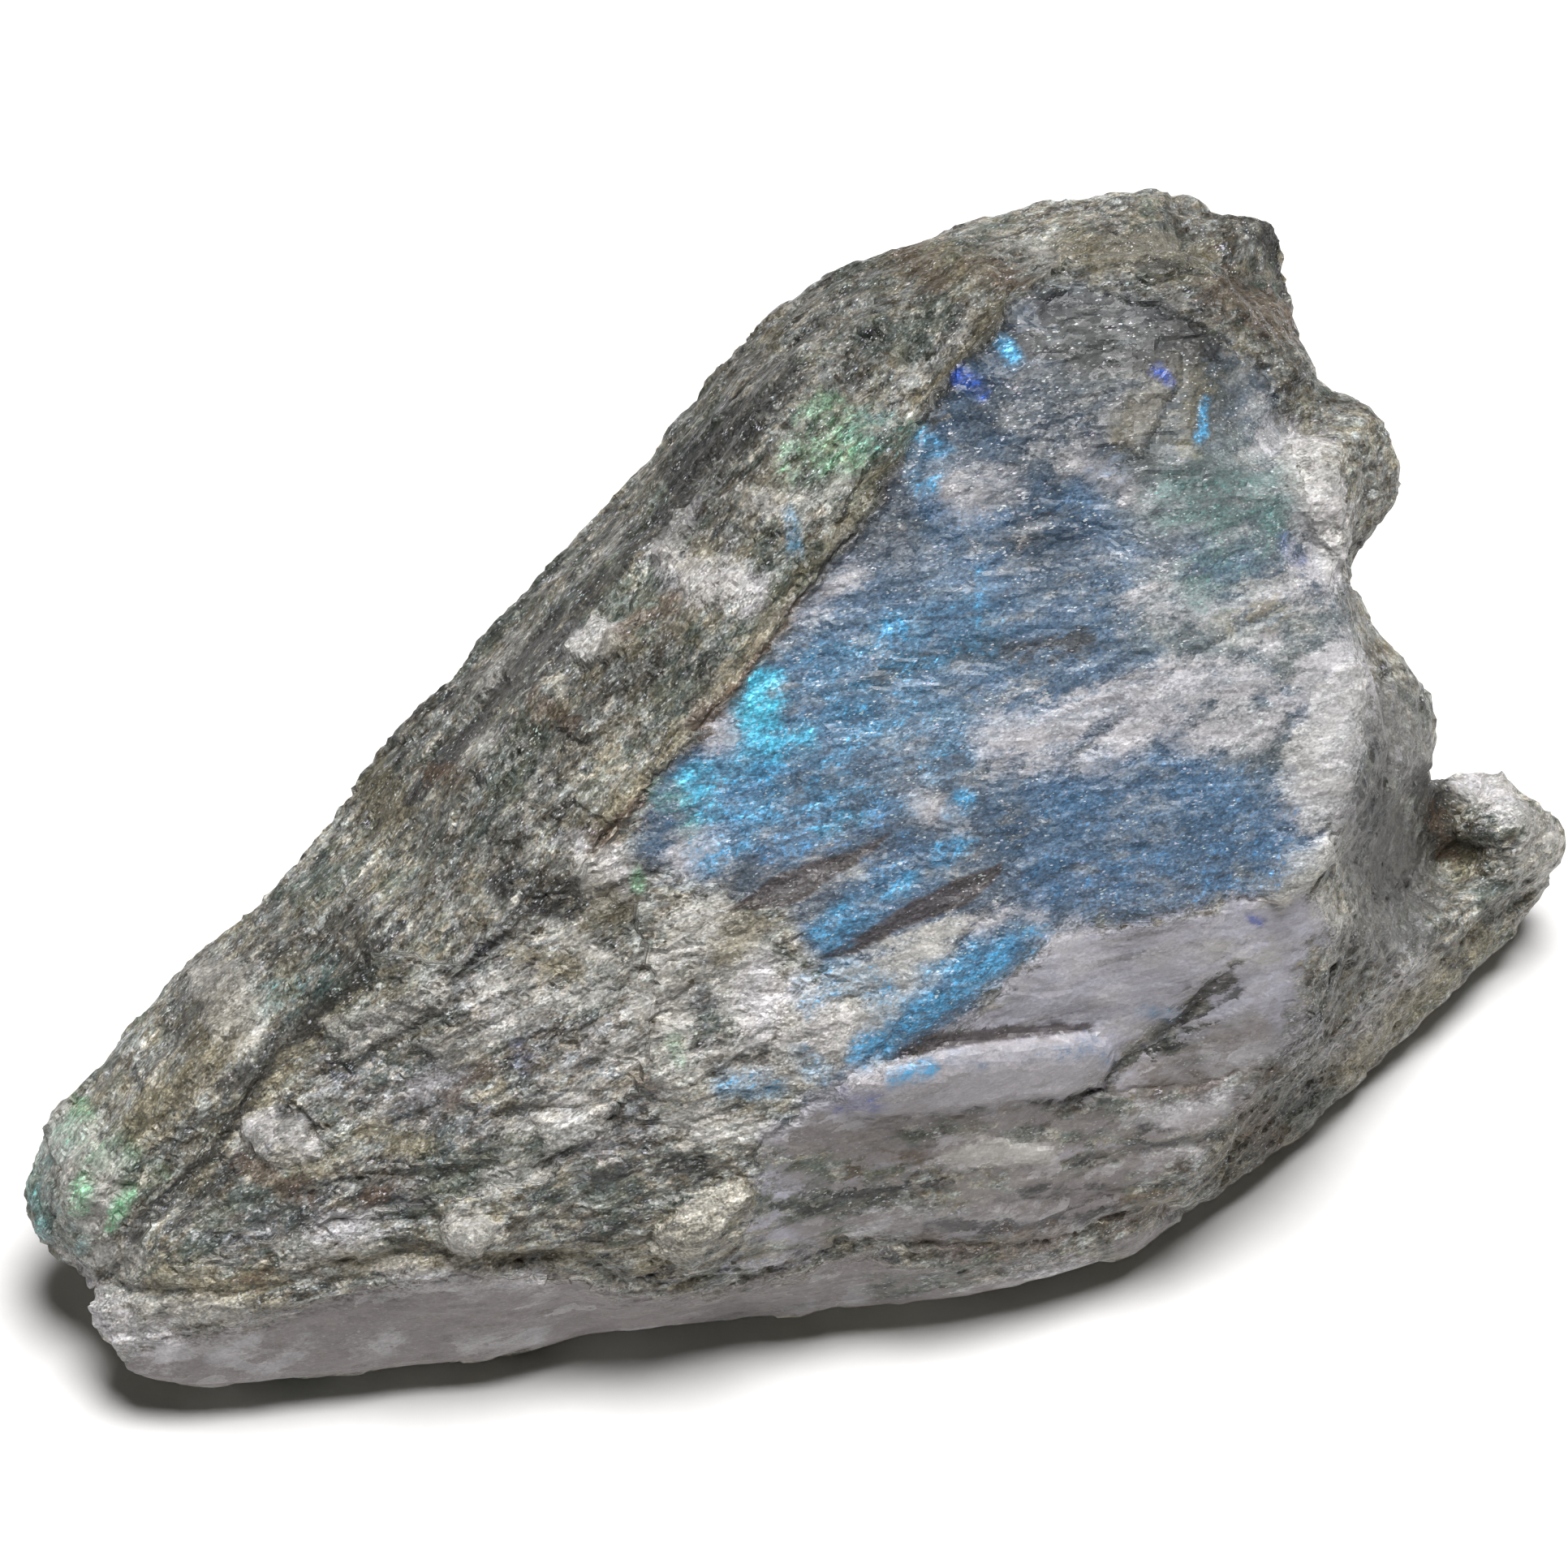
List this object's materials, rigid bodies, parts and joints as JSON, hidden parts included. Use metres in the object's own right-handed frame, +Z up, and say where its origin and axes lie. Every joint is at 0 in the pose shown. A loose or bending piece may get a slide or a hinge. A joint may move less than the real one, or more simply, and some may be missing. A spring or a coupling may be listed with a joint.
{
  "type": "rough labradorite chunk",
  "caption": "Rough wedge-shaped labradorite chunk with one broad cleavage face, a cracked side band, a bottom slab and a flat underside.",
  "frame": {"origin": "centre of the stone's outline on the ground, level with its flat underside", "axes": "+X along the stone's length from the narrow tip to the thick end, +Y from the broad cleavage face to the back, +Z up"},
  "size_m": [0.071, 0.05, 0.0358],
  "materials": {
    "labradorite": "rough broken feldspar with glassy cleavage steps and blue sheen"
  },
  "bodies": {
    "root": {"labradorite_chunk": "labradorite"}
  },
  "joints": []
}
